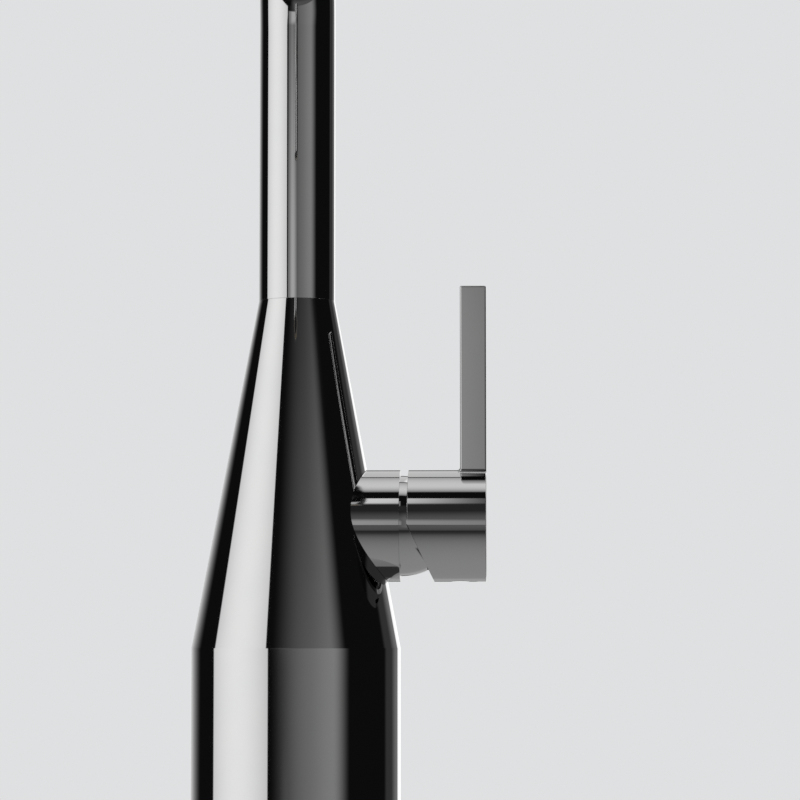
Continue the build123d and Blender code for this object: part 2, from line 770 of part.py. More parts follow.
export_step(spout_spigot.part, "parts/spout_spigot.step")

with BuildPart() as spigot_seals:
    for ring_height in ring_heights:
        with BuildSketch(Plane.XY.offset(ring_height + running_gap)):
            Circle(spigot_radius + running_gap / 2)
            Circle(spigot_radius - ring_groove_depth + running_gap / 2, mode=Mode.SUBTRACT)
        extrude(amount=ring_groove_width - 2 * running_gap)
spigot_seals.part.label = "spigot_seals"
export_step(spigot_seals.part, "parts/spigot_seals.step")

# Spout tube: up from the cone, forward over the basin and down to the outlet
with BuildPart() as spout_tube:
    with BuildSketch(Plane.XY.offset(spout_bottom)):
        Circle(neck_radius)
        Circle(spout_bore_radius, mode=Mode.SUBTRACT)
    extrude(amount=bend_start - spout_bottom)
    with BuildSketch(Plane.XY.offset(bend_start)):
        Circle(neck_radius)
        Circle(spout_bore_radius, mode=Mode.SUBTRACT)
    revolve(axis=Axis((0, -bend_radius, bend_start), (1, 0, 0)), revolution_arc=90)
    with BuildSketch(Plane(origin=(0, -bend_radius, spout_axis_height), z_dir=(0, -1, 0))):
        Circle(neck_radius)
        Circle(spout_bore_radius, mode=Mode.SUBTRACT)
    extrude(amount=spout_reach - 2 * bend_radius)
    with BuildSketch(Plane.XY.offset(bend_start)):
        with Locations((0, -spout_reach)):
            Circle(neck_radius)
            Circle(spout_bore_radius, mode=Mode.SUBTRACT)
    revolve(axis=Axis((0, bend_radius - spout_reach, bend_start), (-1, 0, 0)), revolution_arc=90)
    with BuildSketch(Plane.XY.offset(bend_start)):
        with Locations((0, -spout_reach)):
            Circle(neck_radius)
            Circle(spout_bore_radius, mode=Mode.SUBTRACT)
    extrude(amount=-outlet_drop)
spout_tube.part.label = "spout_tube"
export_step(spout_tube.part, "parts/spout_tube.step")

# Threaded bush soldered into the spout's mouth
bush_bottom = outlet_height + bush_recess
with BuildPart() as outlet_bush:
    with BuildSketch(Plane.XY.offset(bush_bottom)):
        with Locations((0, -spout_reach)):
            Circle(spout_bore_radius - seat_gap)
            Circle(bush_thread_radius, mode=Mode.SUBTRACT)
    extrude(amount=bush_thread_depth)
    with BuildSketch(Plane.XY.offset(bush_bottom + bush_thread_depth)):
        with Locations((0, -spout_reach)):
            Circle(spout_bore_radius - seat_gap)
            Circle(bush_bore_radius, mode=Mode.SUBTRACT)
    extrude(amount=bush_length - bush_thread_depth)
outlet_bush.part.label = "outlet_bush"
export_step(outlet_bush.part, "parts/outlet_bush.step")

# Aerator: threaded shell, jet insert, fine screen and gasket
aerator_radius = bush_thread_radius - seat_gap
insert_radius = aerator_radius - aerator_wall - seat_gap
insert_bottom = bush_bottom + aerator_lip_height
screen_bottom = bush_bottom + aerator_shell_height - aerator_screen_height
with BuildPart() as aerator_shell:
    with BuildSketch(Plane.XY.offset(bush_bottom)):
        with Locations((0, -spout_reach)):
            Circle(aerator_radius)
            Circle(insert_radius - aerator_lip, mode=Mode.SUBTRACT)
    extrude(amount=aerator_lip_height)
    with BuildSketch(Plane.XY.offset(insert_bottom)):
        with Locations((0, -spout_reach)):
            Circle(aerator_radius)
            Circle(aerator_radius - aerator_wall, mode=Mode.SUBTRACT)
    extrude(amount=aerator_shell_height - aerator_lip_height)
aerator_shell.part.label = "aerator_shell"
export_step(aerator_shell.part, "parts/aerator_shell.step")

with BuildPart() as aerator_insert:
    with BuildSketch(Plane.XY.offset(insert_bottom)):
        with Locations((0, -spout_reach)):
            Circle(insert_radius)
            Circle(aerator_hole_radius, mode=Mode.SUBTRACT)
            for ring_radius, ring_count in zip(aerator_ring_radii, aerator_ring_counts):
                with PolarLocations(ring_radius, ring_count):
                    Circle(aerator_hole_radius, mode=Mode.SUBTRACT)
    extrude(amount=screen_bottom - insert_bottom)
aerator_insert.part.label = "aerator_insert"
export_step(aerator_insert.part, "parts/aerator_insert.step")

with BuildPart() as aerator_screen:
    with BuildSketch(Plane.XY.offset(screen_bottom)):
        with Locations((0, -spout_reach)):
            Circle(insert_radius)
    extrude(amount=aerator_screen_height)
aerator_screen.part.label = "aerator_screen"
export_step(aerator_screen.part, "parts/aerator_screen.step")

with BuildPart() as aerator_gasket:
    with BuildSketch(Plane.XY.offset(bush_bottom + aerator_shell_height)):
        with Locations((0, -spout_reach)):
            Circle(aerator_radius)
            Circle(insert_radius - aerator_lip, mode=Mode.SUBTRACT)
    extrude(amount=bush_thread_depth - aerator_shell_height)
aerator_gasket.part.label = "aerator_gasket"
export_step(aerator_gasket.part, "parts/aerator_gasket.step")
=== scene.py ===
import json
from math import asin, atan2, cos, pi, radians, sin, tan

import bpy
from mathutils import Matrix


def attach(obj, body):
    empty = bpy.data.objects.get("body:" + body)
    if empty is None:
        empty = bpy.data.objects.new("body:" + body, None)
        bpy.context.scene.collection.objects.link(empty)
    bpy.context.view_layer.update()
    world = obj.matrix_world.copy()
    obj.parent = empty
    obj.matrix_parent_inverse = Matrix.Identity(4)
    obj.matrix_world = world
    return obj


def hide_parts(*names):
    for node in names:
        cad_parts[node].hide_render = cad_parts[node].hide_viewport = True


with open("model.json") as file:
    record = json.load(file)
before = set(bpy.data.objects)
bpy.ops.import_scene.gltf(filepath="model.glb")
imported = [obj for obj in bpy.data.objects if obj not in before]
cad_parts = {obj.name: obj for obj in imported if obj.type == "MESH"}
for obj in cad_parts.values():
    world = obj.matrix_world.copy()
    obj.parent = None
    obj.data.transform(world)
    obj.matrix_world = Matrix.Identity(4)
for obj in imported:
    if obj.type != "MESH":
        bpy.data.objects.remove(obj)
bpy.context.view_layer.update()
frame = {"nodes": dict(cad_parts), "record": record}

mm = 0.001

# Camera, at the photograph's place: level with the foot of the cone, four degrees round to the
# lever's side, looking slightly up. The focal length is what the photograph's perspective gives.
focal_pixels = 3034
frame_pixels = 800
sensor_mm = 36.0
camera_place = (61.2, -872.9, 78.7)
camera_lift, camera_aside = 4.43, 2.06
camera_data = bpy.data.cameras.new("camera")
camera_data.sensor_width = sensor_mm
camera_data.lens = focal_pixels * sensor_mm / frame_pixels
camera_data.clip_start = 0.05
camera_data.clip_end = 30
camera = bpy.data.objects.new("camera", camera_data)
bpy.context.scene.collection.objects.link(camera)
camera.location = [along * mm for along in camera_place]
camera.rotation_euler = (radians(90 + camera_lift), 0, radians(camera_aside))
bpy.context.scene.camera = camera
bpy.context.scene.view_settings.view_transform = "Standard"


# Floor and background: a plain pale floor just under the shank's end, which fades at its edge
# into a plain pale world and is clear from below. Gloss and glass see the same world as the
# camera does, wherever the studio tent doesn't stand in front of it.
def linear(code):
    """Linear colour with alpha of an sRGB hex code."""
    parts = [int(code[i:i + 2], 16) / 255 for i in (1, 3, 5)]
    colour = [c / 12.92 if c <= 0.04045 else ((c + 0.055) / 1.055) ** 2.4 for c in parts]
    return (*colour, 1.0)


def add(tree, kind, values=None, **settings):
    """Adds a node. Settings are its own properties. A value sets an input, or links it to a
    socket or to the first output of another node."""
    node = tree.nodes.new(kind)
    for key, setting in settings.items():
        setattr(node, key, setting)
    for key, value in (values or {}).items():
        if isinstance(value, bpy.types.Node):
            value = next(socket for socket in value.outputs if socket.enabled)
        if isinstance(value, bpy.types.NodeSocket):
            tree.links.new(value, node.inputs[key])
        else:
            node.inputs[key].default_value = value
    return node


def new_material(name):
    """A material with an empty node tree, and the tree."""
    material = bpy.data.materials.new(name)
    material.use_nodes = True
    material.node_tree.nodes.clear()
    return material, material.node_tree


floor_height = -60.5 * mm
floor_radius = 2.4
fade_start, fade_end = 0.35, 1.1
bpy.ops.object.select_all(action="DESELECT")
bpy.ops.mesh.primitive_circle_add(
    vertices=96, radius=floor_radius, fill_type="NGON", location=(0, 0, floor_height)
)
floor = bpy.context.object
floor.name = "floor"
paper, tree = new_material("pale paper floor")
place = add(tree, "ShaderNodeTexCoord").outputs["Object"]
away = add(tree, "ShaderNodeVectorMath", {0: place}, operation="LENGTH").outputs["Value"]
fade = add(
    tree,
    "ShaderNodeMapRange",
    {"Value": away, "From Min": fade_start, "From Max": fade_end},
    interpolation_type="SMOOTHSTEP",
)
under = add(tree, "ShaderNodeNewGeometry").outputs["Backfacing"]
fade = add(tree, "ShaderNodeMath", {0: fade, 1: under}, operation="MAXIMUM")
matt = add(tree, "ShaderNodeBsdfDiffuse", {"Color": linear("#D9DADB")})
clear = add(tree, "ShaderNodeBsdfTransparent")
mix = add(tree, "ShaderNodeMixShader", {0: fade, 1: matt, 2: clear})
add(tree, "ShaderNodeOutputMaterial", {"Surface": mix})
floor.data.materials.append(paper)
floor.visible_glossy = False

ambient_level = 0.42
world = bpy.data.worlds.new("pale world")
bpy.context.scene.world = world
world.use_nodes = True
tree = world.node_tree
tree.nodes.clear()
path = add(tree, "ShaderNodeLightPath").outputs
seen = add(
    tree,
    "ShaderNodeMath",
    {0: path["Is Camera Ray"], 1: path["Is Glossy Ray"]},
    operation="MAXIMUM",
)
seen = add(tree, "ShaderNodeMath", {0: seen, 1: path["Is Transmission Ray"]}, operation="MAXIMUM")
ambient = add(
    tree, "ShaderNodeBackground", {"Color": linear("#FFFFFF"), "Strength": ambient_level}
)
pale = add(tree, "ShaderNodeBackground", {"Color": linear("#DFE0E1"), "Strength": 1.0})
both = add(tree, "ShaderNodeMixShader", {0: seen, 1: ambient, 2: pale})
add(tree, "ShaderNodeOutputWorld", {"Surface": both})

# Studio tent, which only metal and gloss reflect: softboxes on the left, overhead and behind,
# a grey panel in front with a brighter strip beside it, and a grey floor, all in a dark room.
tent_radius = 5.0
tent_centre = (0, 0, 120 * mm)
bpy.ops.object.select_all(action="DESELECT")
bpy.ops.mesh.primitive_uv_sphere_add(
    segments=64, ring_count=32, radius=tent_radius, location=tent_centre
)
tent = bpy.context.object
tent.name = "studio_tent"
tent.visible_camera = False
tent.visible_diffuse = False
tent.visible_transmission = False
tent.visible_shadow = False
cloth, tree = new_material("softboxes and flags")

# Directions that the cards are placed by: degrees around from the camera and above the horizon,
# and distance aside and forward for each unit of height. Some edges lean a little.
camera_turn = 4.01
lean_start, lean_slope = 3.0, 0.2
sag_slope, slant_slope, dip_slope = -0.19, 0.15, 0.02
place = add(tree, "ShaderNodeTexCoord").outputs["Object"]
unit = add(tree, "ShaderNodeVectorMath", {0: place}, operation="NORMALIZE")
axes = add(tree, "ShaderNodeSeparateXYZ", {0: unit}).outputs
ahead = add(tree, "ShaderNodeMath", {0: axes["Y"], 1: -1.0}, operation="MULTIPLY")
turn = add(tree, "ShaderNodeMath", {0: axes["X"], 1: ahead}, operation="ARCTAN2")
turn = add(tree, "ShaderNodeMath", {0: turn}, operation="DEGREES")
around = add(tree, "ShaderNodeMath", {0: turn, 1: camera_turn}, operation="SUBTRACT")
tilted = add(tree, "ShaderNodeMath", {0: axes["Z"]}, operation="ARCSINE")
rise = add(tree, "ShaderNodeMath", {0: tilted}, operation="DEGREES")
height = add(tree, "ShaderNodeMath", {0: axes["Z"]}, operation="ABSOLUTE")
aside = add(tree, "ShaderNodeMath", {0: axes["X"], 1: height}, operation="DIVIDE")
forward = add(tree, "ShaderNodeMath", {0: ahead, 1: height}, operation="DIVIDE")
above = add(tree, "ShaderNodeMath", {0: axes["Z"], 1: 0.0}, operation="GREATER_THAN")
below = add(tree, "ShaderNodeMath", {0: axes["Z"], 1: 0.0}, operation="LESS_THAN")
over = add(tree, "ShaderNodeMath", {0: rise, 1: lean_start}, operation="SUBTRACT")
over = add(tree, "ShaderNodeMath", {0: over, 1: 0.0}, operation="MAXIMUM")
lean = add(tree, "ShaderNodeMath", {0: over, 1: lean_slope, 2: around}, operation="MULTIPLY_ADD")
sag = add(tree, "ShaderNodeMath", {0: around, 1: sag_slope, 2: rise}, operation="MULTIPLY_ADD")
slant = add(
    tree, "ShaderNodeMath", {0: around, 1: slant_slope, 2: rise}, operation="MULTIPLY_ADD"
)
dip = add(tree, "ShaderNodeMath", {0: around, 1: dip_slope, 2: rise}, operation="MULTIPLY_ADD")


def card(level, *edges):
    """Brightness of one card: its level, times a soft step at each edge from dark to bright."""
    for axis, dark, bright in edges:
        step = add(
            tree,
            "ShaderNodeMapRange",
            {"Value": axis, "From Min": dark, "From Max": bright},
            interpolation_type="SMOOTHSTEP",
        )
        level = add(tree, "ShaderNodeMath", {0: level, 1: step}, operation="MULTIPLY")
    return level


# The left softbox is brightest at its middle, and the overhead one dims towards its front and
# back. The front panel brightens towards the right, and the strip towards its middle.
softbox_middle, softbox_drop, softbox_peak = -68, 0.00029, 1.27
roof_peak, roof_back_drop, roof_front_drop = 0.91, 1.7, 5.1
strip_base = 0.25
off = add(tree, "ShaderNodeMath", {0: around, 1: softbox_middle}, operation="SUBTRACT")
off = add(tree, "ShaderNodeMath", {0: off, 1: off}, operation="MULTIPLY")
softbox_level = add(
    tree, "ShaderNodeMath", {0: off, 1: -softbox_drop, 2: softbox_peak}, operation="MULTIPLY_ADD"
)
roof_drop = add(
    tree,
    "ShaderNodeMath",
    {0: card(roof_front_drop, (forward, 0.0, 0.08)), 1: roof_back_drop},
    operation="ADD",
)
roof_drop = add(tree, "ShaderNodeMath", {0: roof_drop, 1: forward}, operation="MULTIPLY")
roof_drop = add(tree, "ShaderNodeMath", {0: roof_drop, 1: forward}, operation="MULTIPLY")
roof_level = add(tree, "ShaderNodeMath", {0: roof_peak, 1: roof_drop}, operation="SUBTRACT")
panel_level = add(
    tree,
    "ShaderNodeMath",
    {0: card(0.20, (around, -29, 12)), 1: card(0.115, (around, 4, 42))},
    operation="ADD",
)
strip_level = add(
    tree,
    "ShaderNodeMath",
    {0: card(0.33, (around, -26, -15), (around, 0, -12)), 1: strip_base},
    operation="ADD",
)
floor_sides = [(aside, 0.50, 0.44), (aside, -3.5, -2.5), (forward, -4, -3), (below, 0, 1)]
cards = [
    # Left softbox
    card(
        softbox_level,
        (around, -103, -101), (lean, -30.5, -31.7), (sag, 0.6, 2.0), (rise, 48, 44),
    ),
    # Front panel, the strip beside it, and the room below and above them
    card(panel_level, (lean, 61, 40), (dip, -6.4, -5.4), (rise, 36, 10)),
    card(
        strip_level,
        (around, -29, -27), (around, 0, -2), (rise, -0.8, 0.5), (slant, 15.5, 5), (rise, 19, 15),
    ),
    card(0.11, (around, -24, -8), (around, 60, 45), (rise, -15, -8), (rise, 3, -5)),
    card(0.022, (around, -16, -4), (around, 62, 45), (rise, 20, 28), (rise, 48, 42)),
    # Faint wall on the right, brighter towards the tall softbox behind it
    card(0.042, (around, 112, 119), (rise, -24, -10), (rise, 50, 30)),
    card(0.22, (around, 123, 146), (rise, -24, -10), (rise, 50, 30)),
    card(1.35, (around, 147.0, 151.5), (around, 181, 168), (rise, -20, -10), (rise, 60.5, 59.8)),
    card(0.77, (around, 156, 168), (rise, 16, 28), (rise, 60.5, 59.8)),
    # Wall behind on the left, brighter towards the middle
    card(0.66, (around, -129, -172), (around, -178, -170), (rise, -24, -10), (rise, 40, 20)),
    card(0.77, (around, -150, -170), (rise, 16, 28), (rise, 60.5, 59.8)),
    # Overhead softbox, and the band in front of it
    card(
        roof_level, (above, 0, 1), (forward, 0.335, 0.315), (forward, -0.52, -0.505),
        (aside, -1.4, -1.2), (aside, 1.4, 1.2),
    ),
    card(0.98, (around, -2.4, -8.2), (around, -100, -85), (rise, 42.0, 47.5), (rise, 57.2, 56)),
    # Grey floor before and under the tap, with the softboxes' light on it at the left and behind,
    # and painted shade on it: close to the tap on its right, and under the hub, it is left dark.
    card(0.36, (forward, 4.2, -0.3), *floor_sides),
    # Painted shadow: this card fills the floor on the right only well in front, so the floor close
    # to the tap on its right stays dark.
    card(
        0.36, (below, 0, 1),
        (forward, 4.2, -0.3), (forward, 0.45, 0.7), (aside, 1.2, 0.9), (aside, 0.2, 0.3),
    ),
    card(0.46, (forward, 0.8, -2.0), *floor_sides),
    card(0.45, (around, -104, -100), (around, -46, -54), (rise, -9, -16), (rise, -62, -50)),
    card(0.24, (around, -120, -172), (rise, -8, -20), (rise, -62, -50)),
    # Painted shade: the floor on the right starts far round, so the floor under the hub stays
    # dark.
    card(0.16, (around, 100, 165), (rise, -8, -22), (rise, -42, -34)),
    card(0.80, (around, 147, 151.5), (around, 168, 158), (rise, -7, -12), (rise, -42, -30)),
    card(0.05, (rise, -8, -20)),
]
total = cards[0]
for other in cards[1:]:
    total = add(tree, "ShaderNodeMath", {0: total, 1: other}, operation="MAXIMUM")
room_level = 0.006
total = add(tree, "ShaderNodeMath", {0: total, 1: room_level}, operation="ADD")
glow = add(tree, "ShaderNodeEmission", {"Color": linear("#FFFFFF"), "Strength": total})
add(tree, "ShaderNodeOutputMaterial", {"Surface": glow})
tent.data.materials.append(cloth)


# Lamps: one large soft key from the left and above, one wide fill from the right. They shape the
# floor's shadow and the rubber, brass and plastic; polished metal shows the tent in their place.
def lamp(name, place, aim, size, power):
    """A square soft lamp at a place, turned towards a point."""
    light = bpy.data.lights.new(name, "AREA")
    light.shape = "SQUARE"
    light.size = size
    light.energy = power
    thing = bpy.data.objects.new(name, light)
    bpy.context.scene.collection.objects.link(thing)
    thing.location = place
    gap = [b - a for a, b in zip(place, aim)]
    flat = (gap[0] ** 2 + gap[1] ** 2) ** 0.5
    thing.rotation_euler = (pi / 2 + atan2(gap[2], flat), 0, atan2(gap[1], gap[0]) - pi / 2)
    thing.visible_glossy = False


lamp("key", place=(-1.3, -1.0, 1.6), aim=(0, 0, 0.1), size=1.2, power=22)
lamp("fill", place=(1.6, -0.6, 1.0), aim=(0, 0, 0.1), size=1.4, power=7)


# Body shell: cylinder, cone and plain top in one chromed brass casing, turned and polished, with
# a side hole for the lever's sleeve and a small one behind for the stop screw. Polished chrome is
# a neutral grey mirror with a very faint haze from wiping.
def chrome(name, haze_mm=9.0, ripple_mm=14.0, ripple_height_mm=0.02):
    """Polished chrome plate over brass: sharp reflections, with haze and ripple too faint to blur
    them."""
    material, tree = new_material(name)
    place = add(tree, "ShaderNodeTexCoord").outputs["Object"]
    haze = add(
        tree, "ShaderNodeTexNoise", {"Vector": place, "Scale": 1 / (haze_mm * mm), "Detail": 3.0}
    ).outputs["Fac"]
    rough = add(tree, "ShaderNodeMapRange", {"Value": haze, "To Min": 0.018, "To Max": 0.05})
    tint = add(
        tree,
        "ShaderNodeMix",
        {"Factor": haze, "A": linear("#C7C7C8"), "B": linear("#CBCBCA")},
        data_type="RGBA",
    )
    ripple = add(
        tree, "ShaderNodeTexNoise", {"Vector": place, "Scale": 1 / (ripple_mm * mm), "Detail": 0.0}
    ).outputs["Fac"]
    bump = add(
        tree,
        "ShaderNodeBump",
        {"Height": ripple, "Strength": 0.05, "Distance": ripple_height_mm * mm},
    )
    shader = add(
        tree,
        "ShaderNodeBsdfPrincipled",
        {"Base Color": tint, "Roughness": rough, "Normal": bump, "Metallic": 1.0},
    )
    add(tree, "ShaderNodeOutputMaterial", {"Surface": shader})
    return material


def select_only(piece):
    """Makes one object the only selected one, and the active one."""
    if bpy.context.object and bpy.context.object.mode != "OBJECT":
        bpy.ops.object.mode_set(mode="OBJECT")
    bpy.ops.object.select_all(action="DESELECT")
    piece.select_set(True)
    bpy.context.view_layer.objects.active = piece


def turned(name, outline, segments=192, ring=True):
    """Turns an outline of (radius, height) points, in millimetres, about Z: each step is an
    extruded and scaled loop. A ring's outline closes on itself, and a solid's ends are capped."""
    first_radius, first_height = outline[0]
    bpy.ops.object.select_all(action="DESELECT")
    bpy.ops.mesh.primitive_circle_add(
        vertices=segments,
        radius=first_radius * mm,
        fill_type="NOTHING" if ring else "NGON",
        location=(0, 0, first_height * mm),
    )
    piece = bpy.context.object
    piece.name = name
    bpy.ops.object.mode_set(mode="EDIT")
    bpy.ops.mesh.select_all(action="SELECT")
    radius, height = first_radius, first_height
    for next_radius, next_height in outline[1:]:
        bpy.ops.mesh.extrude_region_move(
            TRANSFORM_OT_translate={"value": (0, 0, (next_height - height) * mm)}
        )
        ratio = next_radius / radius
        bpy.ops.transform.resize(value=(ratio, ratio, 1), center_override=(0, 0, 0))
        radius, height = next_radius, next_height
    bpy.ops.object.mode_set(mode="OBJECT")
    if ring:
        last = len(piece.data.vertices) - segments
        for vertex in piece.data.vertices:
            vertex.select = vertex.index < segments or vertex.index >= last
        bpy.ops.object.mode_set(mode="EDIT")
        bpy.ops.mesh.select_mode(type="VERT")
        bpy.ops.mesh.bridge_edge_loops()
        bpy.ops.object.mode_set(mode="OBJECT")
    bpy.ops.object.transform_apply(location=True, rotation=True, scale=True)
    return piece


def lay(piece, height):
    """Lays a turned piece along +X, on an axis at this height."""
    select_only(piece)
    piece.rotation_euler = (0, pi / 2, 0)
    piece.location = (0, 0, height * mm)
    bpy.ops.object.transform_apply(location=True, rotation=True, scale=True)


def rounded(outline, radii, steps=5):
    """An outline with arcs at some corners: radii gives the radius for each corner's number."""
    points = []
    for number, corner in enumerate(outline):
        radius = radii.get(number, 0)
        if not radius:
            points.append(corner)
            continue
        before = outline[number - 1]
        after = outline[(number + 1) % len(outline)]
        arms = []
        for other in (before, after):
            reach = ((other[0] - corner[0]) ** 2 + (other[1] - corner[1]) ** 2) ** 0.5
            arms.append(((other[0] - corner[0]) / reach, (other[1] - corner[1]) / reach))
        half = (pi - abs(pi - abs(atan2(*arms[0][::-1]) - atan2(*arms[1][::-1])))) / 2
        cut = radius / tan(half)
        middle = [arms[0][i] + arms[1][i] for i in (0, 1)]
        length = (middle[0] ** 2 + middle[1] ** 2) ** 0.5
        centre = [corner[i] + middle[i] / length * radius / sin(half) for i in (0, 1)]
        start = [corner[i] + arms[0][i] * cut for i in (0, 1)]
        end = [corner[i] + arms[1][i] * cut for i in (0, 1)]
        a = atan2(start[1] - centre[1], start[0] - centre[0])
        b = atan2(end[1] - centre[1], end[0] - centre[0])
        turn = (b - a + pi) % (2 * pi) - pi
        for step in range(steps + 1):
            angle = a + turn * step / steps
            points.append((centre[0] + radius * cos(angle), centre[1] + radius * sin(angle)))
    return points


def face_outwards(piece, merge_mm=None):
    """Points all faces of a closed piece outwards, with points nearer than a distance merged."""
    select_only(piece)
    bpy.ops.object.mode_set(mode="EDIT")
    bpy.ops.mesh.select_all(action="SELECT")
    if merge_mm:
        bpy.ops.mesh.remove_doubles(threshold=merge_mm * mm)
    bpy.ops.mesh.normals_make_consistent(inside=False)
    bpy.ops.object.mode_set(mode="OBJECT")


def finish(piece, material, body, node, angle=32):
    """Cleans and shades the piece and puts it in the node's place."""
    face_outwards(piece, merge_mm=0.0005)
    bpy.ops.object.shade_smooth_by_angle(angle=radians(angle))
    weighted = piece.modifiers.new("weighted", "WEIGHTED_NORMAL")
    weighted.keep_sharp = True
    weighted.weight = 100
    bpy.ops.object.modifier_apply(modifier=weighted.name)
    piece.data.materials.clear()
    piece.data.materials.append(material)
    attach(piece, body)
    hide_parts(node)


def cut_by(piece, tool, way="DIFFERENCE"):
    """Cuts a piece by a tool, or joins it, and deletes the tool."""
    select_only(piece)
    joint = piece.modifiers.new("cut", "BOOLEAN")
    joint.operation = way
    joint.solver = "EXACT"
    joint.object = tool
    bpy.ops.object.modifier_apply(modifier=joint.name)
    bpy.data.objects.remove(tool)


def drill(piece, radius, start, end, sides=96):
    """Cuts a hole between two points along X, Y or Z: round, or hexagonal with six sides."""
    depths = [b - a for a, b in zip(start, end)]
    turns = ((0, pi / 2, 0), (pi / 2, 0, 0), (0, 0, pi / 6 if sides == 6 else 0))
    bpy.ops.object.select_all(action="DESELECT")
    bpy.ops.mesh.primitive_cylinder_add(
        vertices=sides,
        radius=radius * mm,
        depth=max(depths) * mm,
        location=[(a + b) / 2 * mm for a, b in zip(start, end)],
        rotation=turns[depths.index(max(depths))],
    )
    cut_by(piece, bpy.context.object)


base_height, cone_foot, cone_top = 5.0, 75.0, 175.0
body_radius, neck_radius = 30.0, 11.0
wall = 3.0
lever_axis = 110.0
hub_radius = 16.0
socket_shoulder, socket_radius = 145.0, 9.0
foot_edge, crease, top_edge = 0.2, 0.12, 0.02
cone_rows, cone_margin = 36, 5.0
side_hole_gap, side_hole_start, side_hole_end = 0.1, 5.0, 45.0
stop_hole_radius, stop_hole_height = 2.03, 160.5
stop_hole_start, stop_hole_end = 5.0, 25.0
narrowing = (body_radius - neck_radius) * (socket_shoulder - cone_foot) / (cone_top - cone_foot)
shoulder_radius = body_radius - narrowing - wall
polished = chrome("polished chrome plate")
outline = rounded(
    [
        (body_radius, base_height),
        (body_radius, cone_foot),
        (neck_radius, cone_top),
        (socket_radius, cone_top),
        (socket_radius, socket_shoulder),
        (shoulder_radius, socket_shoulder),
        (body_radius - wall, cone_foot),
        (body_radius - wall, base_height),
    ],
    {0: foot_edge, 1: crease, 2: top_edge},
)
steps_on_cone = []
for start, end in zip(outline, outline[1:]):
    steps_on_cone.append(start)
    if start[1] < cone_foot + cone_margin and end[1] > cone_top - cone_margin:
        for row in range(1, cone_rows):
            share = row / cone_rows
            steps_on_cone.append(
                (start[0] + (end[0] - start[0]) * share, start[1] + (end[1] - start[1]) * share)
            )
steps_on_cone.append(outline[-1])
body_shell = turned("body_casing", steps_on_cone, segments=256)
face_outwards(body_shell)
drill(
    body_shell,
    hub_radius + side_hole_gap,
    (side_hole_start, 0, lever_axis),
    (side_hole_end, 0, lever_axis),
    sides=192,
)
drill(
    body_shell,
    stop_hole_radius,
    (0, stop_hole_start, stop_hole_height),
    (0, stop_hole_end, stop_hole_height),
    sides=48,
)
finish(body_shell, polished, "root", "body_shell", angle=20)

# Base ring: the chromed plinth that the shell stands on, turned brass with a rubber ring let into
# its underside. Its lower outer edge is broken so that it doesn't cut the basin.
ring_height, ring_bore = 4.9, 16.3
groove_inside, groove_outside, groove_depth = 18.97, 26.03, 1.5
lower_edge, upper_edge = 0.5, 0.25
base_ring = turned(
    "base_plinth",
    rounded(
        [
            (body_radius, 0.0),
            (body_radius, ring_height),
            (ring_bore, ring_height),
            (ring_bore, 0.0),
            (groove_inside, 0.0),
            (groove_inside, groove_depth),
            (groove_outside, groove_depth),
            (groove_outside, 0.0),
        ],
        {0: lower_edge, 1: upper_edge},
    ),
)
finish(base_ring, polished, "root", "base_ring")

# Sleeve out of the cone's side: chromed brass tube that holds the cartridge, with the outer edge
# of its open end just broken.
sleeve_start, sleeve_end = 4.0, 30.0
sleeve_bore, sleeve_edge = 12.6, 0.06
cartridge_sleeve = turned(
    "lever_sleeve",
    rounded(
        [
            (hub_radius, sleeve_start),
            (hub_radius, sleeve_end),
            (sleeve_bore, sleeve_end),
            (sleeve_bore, sleeve_start),
        ],
        {1: sleeve_edge},
    ),
)
lay(cartridge_sleeve, lever_axis)
finish(cartridge_sleeve, polished, "root", "cartridge_sleeve")

# Domed cover in the groove between sleeve and lever: chromed cap over the cartridge's nut, bulged
# so that the lever's rim clears it as it tilts.
dome_radius, dome_arc = 14.4, 20.5
dome_length = 8.0
dome_hole, dome_lip = 8.4, 1.8
dome_inside, dome_shoulder = 10.7, 33.2
hole_edge, lip_edge = 0.5, 0.4
dome_steps = 24
dome_outline = []
for step in range(dome_steps + 1):
    angle = asin(dome_length / dome_arc) * step / dome_steps
    dome_outline.append(
        (dome_radius - dome_arc + dome_arc * cos(angle), sleeve_end + dome_arc * sin(angle))
    )
dome_outline += [
    (dome_hole, sleeve_end + dome_length),
    (dome_hole, sleeve_end + dome_length - dome_lip),
    (dome_inside, dome_shoulder),
    (sleeve_bore, dome_shoulder),
    (sleeve_bore, sleeve_end),
]
dome_collar = turned(
    "dome_cover", rounded(dome_outline, {dome_steps: hole_edge, dome_steps + 1: lip_edge})
)
lay(dome_collar, lever_axis)
finish(dome_collar, polished, "root", "dome_collar")

# Lever handle: a hollow hub with a slim upright bar, cast in brass, ground and chromed as one
# piece. The hub's lower inner side is cut back at the tilt angle, the bar has softened edges and
# a fillet at its foot, and the set screw's hole is below.
hub_start, hub_end = 32.35, 54.7
hub_bore, cavity_floor = 14.8, 43.9
hub_face = 15.0
bar_inner = 47.2
bar_half_width = 5.0
bar_top = 179.0
edge_radius, rim_radius, inner_rim = 0.5, 0.2, 0.05
foot_height, foot_front, foot_side = 1.08, 0.64, 1.0
foot_stub, foot_sink = 2.0, 0.012
tilt = 25.0
pivot_x = 32.3
cut_size = 40.0
screw_hole_radius = 2.83
screw_hole_bottom, screw_hole_top = 86.5, 106.5
handle = turned(
    "lever_handle",
    rounded(
        [
            (hub_bore, cavity_floor),
            (hub_bore, hub_start),
            (hub_radius, hub_start),
            (hub_radius, hub_end),
            (hub_face, hub_end),
        ],
        {1: inner_rim, 2: inner_rim, 3: rim_radius},
    ),
    ring=False,
)
lay(handle, lever_axis)

